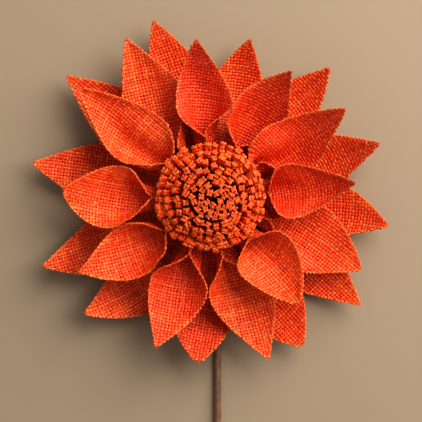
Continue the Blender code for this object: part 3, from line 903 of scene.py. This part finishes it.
# Edges: a rim of pressed fibres, with loose ones along it and a tuft at the tip
edging = {
    "radius": 0.24 * mm,
    "unevenness": 0.35,
    "wobble": 0.15 * mm,
    "tone": 0.65,
    "pale": 0.35,
    "paleSpread": (-0.6, 0.65),
    "paleFrom": 27 * mm,  # nearer the head's axis the rims are in the mouths' shade
    "paleFade": 6 * mm,
    "looseFibres": 26,
    "looseLength": (0.5 * mm, 1.5 * mm),
    "looseRadius": 0.075 * mm,
    "looseLean": 1.3,
    "looseBend": 0.35,
    "tuftFibres": 7,
    "tuftLength": (0.9 * mm, 2.4 * mm),
    "offFloor": 0.15 * mm,
}


def finerLine(points, times):
    at = np.arange(len(points))
    finer = np.linspace(0, len(points) - 1, (len(points) - 1) * times + 1)
    return np.stack([np.interp(finer, at, points[:, k]) for k in range(3)], axis=-1)


# Where the cloth is cut its fibres are pressed together into a thin pale line
def edgeMesh(rim, inward, draw):
    cut = edging
    line = rim + draw.normal(0, cut["wobble"], rim.shape)
    radius = cut["radius"] * (1 + draw.uniform(-cut["unevenness"], cut["unevenness"], len(rim)))
    pale = np.clip(cut["pale"] + draw.uniform(*cut["paleSpread"], len(rim)), 0, 1)
    out = np.linalg.norm((rim - np.array(hub))[:, :2], axis=1)
    pale *= np.clip((out - cut["paleFrom"]) / cut["paleFade"], 0, 1)
    strands = [(line, radius, cut["tone"], pale)]
    count, tip = len(rim), len(rim) // 2
    loose = draw.integers(count // 12, count * 11 // 12, cut["looseFibres"])
    tuft = tip + draw.integers(-3, 4, cut["tuftFibres"])
    starts = [(k, cut["looseLength"]) for k in loose] + [(k, cut["tuftLength"]) for k in tuft]
    for k, lengths in starts:
        along = unit(rim[k + 1] - rim[k - 1]) * draw.choice((-1, 1))
        outward = unit(unit(rim[k] - inward[k]) + along * draw.uniform(0.0, cut["looseLean"]))
        length = draw.uniform(*lengths)
        bent = unit(outward + draw.normal(0, cut["looseBend"], 3))
        steps = np.array((-0.25, 0.35, 0.7, 1.0))[:, None]
        fibre = rim[k] + length * (outward * steps + (bent - outward) * steps**2)
        fibre[:, 2] = np.maximum(fibre[:, 2], tapeLow.z + cut["offFloor"])
        thin = cut["looseRadius"] * draw.uniform(0.7, 1.3) * np.array((1.2, 1.0, 0.8, 0.5))
        strands.append((fibre, thin, draw.uniform(0.5, 1.0), draw.uniform(0.2, 1.0)))
    return strandMesh(strands)


def buildPetals():
    look = burlapFinish("dyed_burlap", petalYarn)
    values = {**burlap, "Turn": 0.0, "Side": 1.0, "Middle": 0.0, "Seed": 0, "Material": look}
    tree = threadTree(values)
    rows = [
        (f"petal_{layer}_{number:02d}", layer, number, row)
        for layer, tier in tiers.items()
        for number, row in tier["petals"].items()
    ]
    nets = bedPetals({name: petalNet(tiers[layer], row) for name, layer, number, row in rows})
    say("petals bedded")
    draw = np.random.default_rng(11)
    for seed, (name, layer, number, row) in enumerate(rows):
        tier, blunt = tiers[layer], row[7]
        mouth, deeper = tier["mouths"].get(number), tier["deeper"].get(number, 0.0)
        surface, length, rims = smoothPetal(name + "_surface", nets[name], blunt, mouth)
        turn = math.radians(draw.uniform(-14, 14))
        threads = []
        for kind, more, side in (("warp", 0.0, 1.0), ("weft", math.pi / 2, -1.0)):
            values.update({
                "Turn": turn + more, "Side": side, "Middle": float(length / 2), "Seed": seed,
            })
            threads.append(bake(f"{name}_{kind}", surface, tree, values))
        bpy.data.objects.remove(surface)
        slotName = f"petal_{layer}"
        warp, weft = threads
        rim, inward = (finerLine(line, 2) for line in rims)
        edge = addObject(f"{name}_edge", edgeMesh(rim, inward, draw))
        edge.data.materials.append(look)
        for piece in (warp, weft, edge):
            # painted shade on the petals turned away from the light
            deepen(piece.data, deeper)
        place(warp, slotName, name)
        place(weft, slotName)
        place(edge, slotName)
    say("petals woven")


# Centre: a rolled strip of fringe, each tab two layers of cut cloth
fringe = {
    "Tab pitch": 3.12 * mm,
    "Coil pitch": 2.86 * mm,
    "First radius": 2.3 * mm,
    "Last radius": 21.2 * mm,
    "Eye": (3.4 * mm, -2.4 * mm, 0.0),
    "Core radius": 20.6 * mm,
    "Core edge": 26.0 * mm,
    "Core top": 31.5 * mm,
    "Lean": math.radians(67),
    "Lean spread": math.radians(11),
    "Twist spread": math.radians(34),
    "Seed": 4,
}
domePower = 2.2  # of the core's dome, and of the tabs' lean towards its edge
footJitter = 0.7 * mm  # how far a tab stands out of line
fringeTab = {
    "variants": 8,
    "width": 0.56 * mm,  # of the pair of threads, either side of the middle
    "wide": 1.55,  # a tab of three threads, in widths
    "depth": 0.53 * mm,  # of the two layers, either side of the middle
    "stands": 6.1 * mm,
    "heights": (0.90, 1.06),
    "sunk": 1.6 * mm,
    "uneven": 0.20 * mm,
    "splay": 0.22 * mm,
    "threadHalf": 0.80 * mm,
    "topHalf": 0.86,  # how much of it is left at the top
    "rungs": 2,
    "rungHalf": 0.42 * mm,
    "rungOut": 0.34 * mm,
    "rungDown": (0.6 * mm, 0.9 * mm),  # from the top
    "rungPast": (0.80 * mm, 1.15 * mm),  # past the threads
    "pitch": 1.6 * mm,
    "lift": 0.20 * mm,
    "cutEnds": (0.85, 0.6),  # how pale: of the threads and of the rungs
    "cutLength": 0.8 * mm,
}
coreShape = {
    "stalkRadius": 11.6 * mm,
    "neck": 16 * mm,
    "underCap": 24.2 * mm,
    "ledge": (0.8, 0.4 * mm),  # where the cap's underside turns up, and by how much
    "gap": 0.3 * mm,
    "pitDepth": 7 * mm,
    "pitRadius": 1.7 * mm,
    # painted shade: the core is dark so that the gaps between the tabs read as shade
    "tint": (0.13, 0.006, 0.001),
}


# One tab of the fringe, standing along its own Z; every fourth has three threads a layer
def tabMesh(number, draw):
    cut = fringeTab
    width, depth, pitch, lift = cut["width"], cut["depth"], cut["pitch"], cut["lift"]
    three = number % 4 == 3
    across = np.array((-1.0, 0.0, 1.0)) * cut["wide"] if three else np.array((-1.0, 1.0))
    strands = []
    for layer in (-1, 1):
        splay = draw.uniform(0.0, cut["splay"])
        height = cut["stands"] * draw.uniform(*cut["heights"])
        for place, x in enumerate(across):
            top = height + draw.uniform(-cut["uneven"], cut["uneven"])
            z = np.array((-cut["sunk"], 0.5 * top, 0.85 * top, top))
            grown = np.clip(z / cut["stands"], 0, 1) ** 2
            wave = np.cos(math.pi * (z / pitch + place + layer)) * lift
            line = np.stack([
                x * width * (1 + 0.12 * grown) + draw.uniform(-0.15, 0.15) * mm * grown,
                layer * (depth + splay * grown) + wave,
                z,
            ], axis=-1)
            radius = cut["threadHalf"] * (1 + draw.uniform(-0.10, 0.08, len(z)))
            radius[-1] *= cut["topHalf"]
            ends = cut["cutEnds"][0] * np.clip(1 - (top - z) / cut["cutLength"], 0, 1)
            strands.append((line, radius, draw.uniform(0, 1), ends))
        for step in range(cut["rungs"]):
            z = height - draw.uniform(*cut["rungDown"]) - step * pitch
            reach = np.abs(across).max() * width + draw.uniform(*cut["rungPast"])
            x = np.linspace(-reach, reach, 3)
            wave = np.cos(math.pi * (x / (2 * width) + step)) * lift
            line = np.stack([
                x,
                layer * (depth + cut["rungOut"] + splay * (z / height) ** 2) - wave,
                z + draw.uniform(-0.1, 0.1) * mm + 0 * x,
            ], axis=-1)
            ends = np.array((1.0, 0, 1.0)) * cut["cutEnds"][1]
            strands.append((line, cut["rungHalf"], draw.uniform(0, 1), ends))
    return strandMesh(strands)


# Stands the tabs along a coil and one last full ring
def fringeTree(values):
    do, given = newTree("fringeTabs", values)
    rotations = do.divide(
        do.minus(given["Last radius"], given["First radius"]), given["Coil pitch"])
    coil = do("GeometryNodeCurveSpiral", {
        "Resolution": 64, "Rotations": rotations, "Height": 0.0,
        "Start Radius": given["First radius"], "End Radius": given["Last radius"],
    })
    ring = do("GeometryNodeCurvePrimitiveCircle", {
        "Resolution": 128, "Radius": given["Last radius"],
    }, "Curve")
    lines = do("GeometryNodeJoinGeometry", {0: coil})
    fill(do.tree, lines.node, {0: ring})
    feet = do("GeometryNodeCurveToPoints", {
        "Curve": lines, "Length": given["Tab pitch"],
    }, "Points", mode="LENGTH")

    def chance(reach, salt, middle=0.0):
        return do.chance(middle - reach, middle + reach, do.plus(given["Seed"], salt))

    # the eye of the coil is off the middle
    position = do("GeometryNodeInputPosition")
    feet = do.store(feet, "outward", do.vector("NORMALIZE", position))
    share = do.divide(do.vector("LENGTH", position), given["Last radius"])
    feet = do.store(feet, "share", share)
    share, radial = do.read("share"), do.read("outward")
    shift = do.scale(given["Eye"], do.minus(1.0, share))
    feet = do.move(feet, Position=do.vector("ADD", position, shift))

    # each foot stands on the core's dome, a little out of line
    away = do.divide(do.vector("LENGTH", position), given["Core radius"])
    away = do.math("MINIMUM", away, 1.0)
    dome = do.minus(1.0, do.math("POWER", away, domePower))
    height = do.timesPlus(
        do.minus(given["Core top"], given["Core edge"]), dome, given["Core edge"])
    feet = do.move(feet, Offset=do.combine(chance(footJitter, 5), chance(footJitter, 6), height))

    # the tabs lean outwards more and more, and each is turned a little its own way
    lean = do.timesPlus(do.math("POWER", share, domePower), given["Lean"],
                        do.times(chance(1.0, 1), given["Lean spread"]))
    upright = do.vector("ADD", do.scale(radial, do.math("SINE", lean)),
                        do.combine(0.0, 0.0, do.math("COSINE", lean)))
    stood = do("FunctionNodeAlignRotationToVector", {"Vector": upright}, axis="Z")
    stood = do("FunctionNodeAlignRotationToVector", {
        "Rotation": stood, "Vector": radial,
    }, axis="Y", pivot_axis="Z")
    twist = do("FunctionNodeAxisAngleToRotation", {
        "Axis": (0.0, 0.0, 1.0), "Angle": do.times(chance(1.0, 2), given["Twist spread"]),
    })
    stood = do("FunctionNodeRotateRotation", {
        "Rotation": stood, "Rotate By": twist,
    }, rotation_space="LOCAL")
    tabs = do("GeometryNodeCollectionInfo", {
        "Collection": given["Tabs"], "Separate Children": True, "Reset Children": True,
    })
    placed = do("GeometryNodeInstanceOnPoints", {
        "Points": feet, "Instance": tabs, "Pick Instance": True, "Rotation": stood,
        "Scale": do.combine(chance(0.06, 4, 1.0), 1.0, chance(0.09, 3, 1.01)),
    })
    return endTree(do, placed, given["Material"])


# A turned shape: rings of radius and height about the head's axis
def turnedMesh(profile, sides=96, reshape=None):
    angles = np.arange(sides) * 2 * math.pi / sides
    radius, height = np.array(profile).T
    points = np.stack([
        radius[:, None] * np.cos(angles),
        radius[:, None] * np.sin(angles),
        height[:, None] + 0 * angles,
    ], axis=-1)
    if reshape:
        points = reshape(points)
    return gridMesh(points + np.array(hub), wrap=True)


def buildCentre():
    draw = np.random.default_rng(5)
    tabs = bpy.data.collections.new("tabs")
    for number in range(fringeTab["variants"]):
        tabs.objects.link(bpy.data.objects.new(f"tab_{number}", tabMesh(number, draw)))
    seedMesh = bpy.data.meshes.new("coilSource")
    seedMesh.from_pydata([(0, 0, 0)], [], [])
    source = addObject("coilSource", seedMesh)
    values = {**fringe, "Tabs": tabs, "Material": burlapFinish("fringe_burlap", fringeYarn)}
    whole = bake("center_tabs", source, fringeTree(values), values)
    for one in (source, *tabs.objects):
        bpy.data.objects.remove(one)
    bpy.data.collections.remove(tabs)
    whole.data.transform(Matrix.Translation(hub))
    place(whole, "center_fringe", "center_fringe")

    # the core: a stalk, a cap's flat underside, and a dome with a pit at the coil's eye
    shape = coreShape
    eye = np.array(fringe["Eye"][:2])
    top, edge, wide = fringe["Core top"], fringe["Core edge"], fringe["Core radius"]
    stalk, under = shape["stalkRadius"], shape["underCap"]
    turnsUp, rise = shape["ledge"]
    profile = [
        (stalk, discTop + shape["gap"]), (stalk, shape["neck"]), (stalk, under),
        (wide * turnsUp, under), (wide, under + rise),
    ]
    profile += [
        (max(wide * x, 1e-5), edge + (top - edge) * (1 - x**domePower))
        for x in np.linspace(1, 0.0, 40)
    ]

    def pit(points):
        far = np.linalg.norm(points[..., :2] - eye, axis=-1)
        hollow = shape["pitDepth"] * np.exp(-((far / shape["pitRadius"]) ** 2))
        points[4:, :, 2] -= hollow[4:]
        return points

    core = addObject("center_core", turnedMesh(profile, reshape=pit))
    # painted shade: a dark red for the shade down between the tabs
    look, do = newMaterial("core_cloth")
    do.shade({"Base Color": (*shape["tint"], 1), "Roughness": 0.95})
    core.data.materials.append(look)
    place(core, "center_fringe")
    say("centre built")


# Stem: paper tape wound over the wire
stem = {
    "sideways": stemOffset,
    "back": -2.4 * mm,
    "top": 24 * mm,
    "bend": 4.4 * mm,
    "tapePitch": 9.2 * mm,
    "overlapStep": 0.16 * mm,
    "overlap": 0.07,  # of a turn
    "ripple": 0.05,
    "wrinkle": 0.05 * mm,
    "sides": 28,
    "spacing": 0.42 * mm,
    "bore": 1.1 * mm,
    "tint": (0.155, 0.082, 0.050),
}


def stemLine():
    level = tapeRadius
    sideways, back, bend = stem["sideways"], stem["back"], stem["bend"]
    corner = np.array((sideways, back - bend, level + bend))
    knots = [np.array((sideways, back, stem["top"]))]
    for angle in np.linspace(0, math.pi / 2, 25):
        knots.append(corner + bend * np.array((0, math.cos(angle), -math.sin(angle))))
    knots.append(np.array((sideways, tapeLow.y - hub.y, level)))
    knots = np.array(knots)
    run = np.concatenate([[0], np.cumsum(np.linalg.norm(np.diff(knots, axis=0), axis=1))])
    at = np.linspace(0, run[-1], int(run[-1] / stem["spacing"]))
    return at, np.stack([np.interp(at, run, knots[:, k]) for k in range(3)], axis=-1)


def buildStem():
    draw = np.random.default_rng(3)
    at, line = stemLine()
    along = unit(np.gradient(line, axis=0))
    side = np.array((1.0, 0, 0))
    up = np.cross(along, side)
    sides, overlap = stem["sides"], stem["overlap"]
    angles = np.arange(sides) * 2 * math.pi / sides
    turn = at[:, None] / stem["tapePitch"] - angles / (2 * math.pi)
    edge = turn + stem["ripple"] * np.sin(5 * turn + 2 * angles)
    part = edge - np.floor(edge)
    step = stem["overlapStep"] * np.minimum(part / (1 - overlap), (1 - part) / overlap)
    rough = draw.normal(0, 1, (len(at), sides))
    rough = sum(np.roll(rough, k, axis=0) for k in (-1, 0, 1)) / 3
    rough = (rough + np.roll(rough, 1, axis=1)) / 2
    radius = tapeRadius - stem["overlapStep"] + step - stem["wrinkle"] * np.abs(rough)
    ring = side * np.cos(angles)[:, None] + up[:, None] * np.sin(angles)[:, None]
    points = line[:, None] + ring * radius[..., None] + np.array(hub)
    first, last = (line[end] + ring[end] * stem["bore"] + np.array(hub) for end in (0, -1))
    points = np.concatenate([first[None], points, last[None]])
    piece = addObject("stem_wrap", gridMesh(points, wrap=True))
    look, do = newMaterial("stem_paper")
    crepe = do.noise(do.spot((1, 0.35, 1)), 1500.0, 3.0)
    blotch = do.noise(do.spot(), 320.0, 3.0)
    do.shade({
        "Base Color": do.ramp(blotch, *shades(stem["tint"], (0.3, 0.75), (0.75, 1.35))),
        "Normal": do.bump(crepe, 0.5, 0.2 * mm),
        "Roughness": 0.55,
    })
    piece.data.materials.append(look)
    place(piece, "stem_tape", "stem_tape")
    say("stem wrapped")


# Wire: drawn steel, faintly streaked along its length
wire = {"tint": (0.38, 0.37, 0.36), "roughness": (0.28, 0.5)}


def finishWire():
    look, do = newMaterial("wire_steel")
    streaks = do.noise(do.spot((1, 0.06, 1)), 5000.0, 3.0)
    low, high = wire["roughness"]
    do.shade({
        "Base Color": do.ramp(streaks, *shades(wire["tint"], (0.0, 0.7), (1.0, 1.2))),
        "Roughness": do("ShaderNodeMapRange", {"Value": streaks, 3: low, 4: high}),
        "Metallic": 1.0,
    })
    for slot in bpy.data.objects["stem_wire"].material_slots:
        slot.material = look
    say("wire finished")


# Back disc: felt, its edges rounded
backFelt = {"edge": 0.45 * mm, "tint": (0.42, 0.032, 0.006)}


def buildDisc():
    edge, bottom = backFelt["edge"], discLow.z - hub.z
    profile = [(1e-5, bottom), (discRadius * 0.5, bottom)]
    for first, level in ((-90, bottom + edge), (0, discTop - edge)):
        for angle in np.linspace(first, first + 90, 7):
            out, rise = math.cos(math.radians(angle)), math.sin(math.radians(angle))
            profile.append((discRadius - edge + edge * out, level + edge * rise))
    profile += [(discRadius * 0.5, discTop), (1e-5, discTop)]
    disc = addObject("back_felt", turnedMesh(profile))
    look, do = newMaterial("disc_felt")
    fuzz = do.noise(do.spot(), 900.0, 4.0, 0.7)
    do.shade({
        "Base Color": do.ramp(fuzz, *shades(backFelt["tint"], (0.0, 0.6), (1.0, 1.3))),
        "Normal": do.bump(fuzz, 0.7, 0.4 * mm),
        "Roughness": 0.95,
        "Sheen Weight": 0.4,
    })
    disc.data.materials.append(look)
    place(disc, "back_disc", "back_disc")
    say("back disc built")


# Studio: the camera looks straight down on the head
studio = {
    "pixel": 0.5 * mm,
    "framePixels": 422,
    "headPixel": (210, 197),
    "focus": 15 * mm,
    "distance": 1.0,
    "sensor": 36,
    "keyFrom": (0.58, 0.49, 0.64),
    "keyPower": 16.8,
    "keySize": 1.0,
    "keyColour": (1, 0.96, 0.9),
    "skyLight": 0.375,
    "skyColour": (1, 0.97, 0.93, 1),
    "floorReach": 3.0,
    "floorColour": (0.30, 0.236, 0.170, 1),
}


def buildStudio():
    scene = bpy.context.scene
    data = bpy.data.cameras.new("camera")
    camera = addObject("camera", data)
    half = studio["framePixels"] / 2
    offset = Vector((half - studio["headPixel"][0], studio["headPixel"][1] - half, 0))
    aim = hub + offset * studio["pixel"]
    camera.location = aim + Vector((0, 0, studio["focus"] + studio["distance"]))
    frameWidth = studio["framePixels"] * studio["pixel"]
    data.sensor_width = studio["sensor"]
    data.lens = studio["sensor"] * studio["distance"] / frameWidth
    scene.camera = camera

    world = bpy.data.worlds.new("studio")
    world.use_nodes = True
    fill(world.node_tree, world.node_tree.nodes["Background"], {
        "Color": studio["skyColour"], "Strength": studio["skyLight"],
    })
    scene.world = world
    key = bpy.data.lights.new("key", "AREA")
    key.energy = studio["keyPower"]
    key.size = studio["keySize"]
    key.color = studio["keyColour"]
    lamp = addObject("key", key)
    lamp.location = hub + Vector(studio["keyFrom"])
    lamp.rotation_euler = (hub - lamp.location).to_track_quat("-Z", "Y").to_euler()
    scene.view_settings.view_transform = "Standard"
    scene.view_settings.look = "High Contrast"

    mesh = bpy.data.meshes.new("floor")
    wide = studio["floorReach"]
    corners = [(-wide, -wide), (wide, -wide), (wide, wide), (-wide, wide)]
    mesh.from_pydata([(x, y, tapeLow.z) for x, y in corners], [], [(0, 1, 2, 3)])
    floor = addObject("floor", mesh)
    made, do = newMaterial("floor")
    do.shade({"Base Color": studio["floorColour"], "Roughness": 0.9})
    mesh.materials.append(made)
    say("studio set")


buildStudio()
buildPetals()
buildCentre()
buildStem()
finishWire()
buildDisc()

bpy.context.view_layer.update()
say("done")
